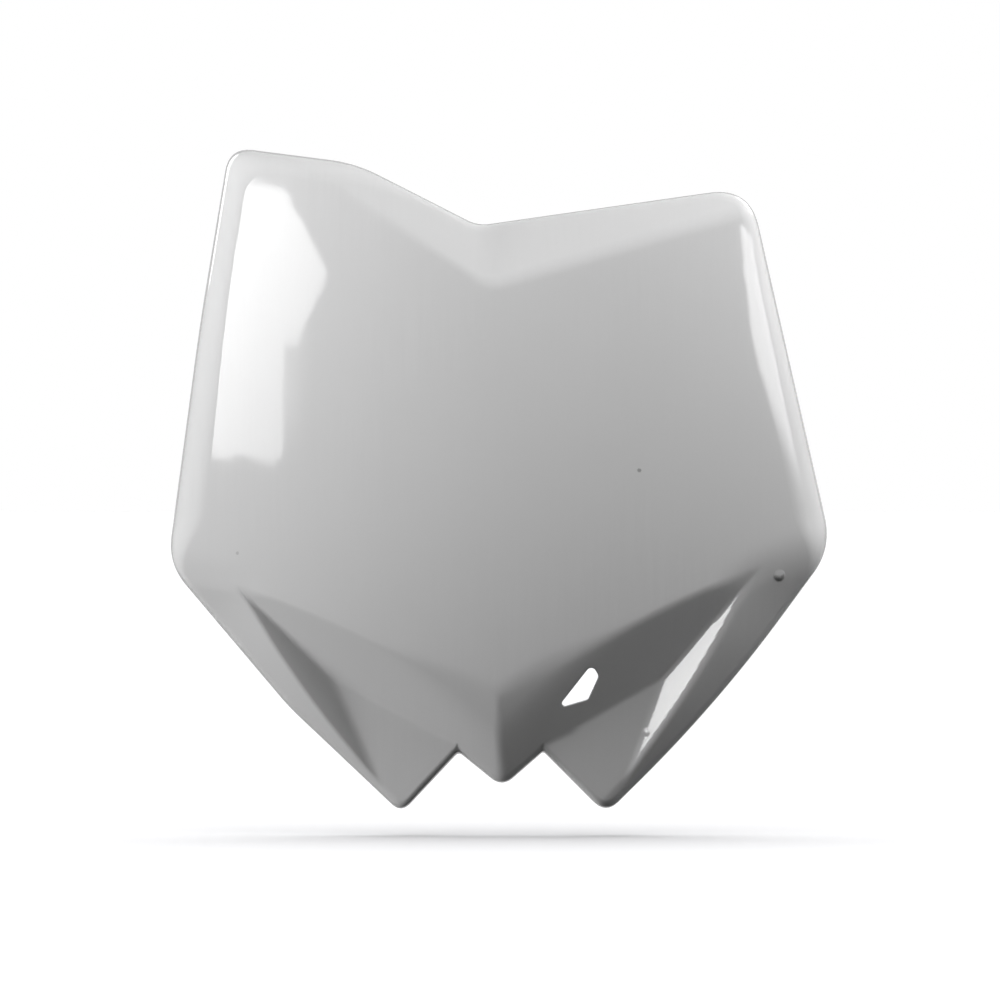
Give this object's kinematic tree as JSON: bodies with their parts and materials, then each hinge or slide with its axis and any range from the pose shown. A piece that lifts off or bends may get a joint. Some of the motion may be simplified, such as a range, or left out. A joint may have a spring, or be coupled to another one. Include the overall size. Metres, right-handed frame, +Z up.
{
  "type": "racing number board",
  "caption": "One-piece moulded front number board for an off-road racing motorbike, with a notched top, fluted lower edge, hose window, lower bolt tab and rear pin ears.",
  "frame": {"origin": "centre of the bolt hole in the lower tab behind the board, at the middle of the tab's thickness", "axes": "+Z up along the bolt hole, +Y to the rear away from the viewer, +X to the right as the viewer sees the front; the front of the board faces -Y"},
  "size_m": [0.2634, 0.0425, 0.264],
  "materials": {
    "plastic": "gloss"
  },
  "bodies": {
    "root": {"number_plate": "plastic"}
  },
  "joints": []
}
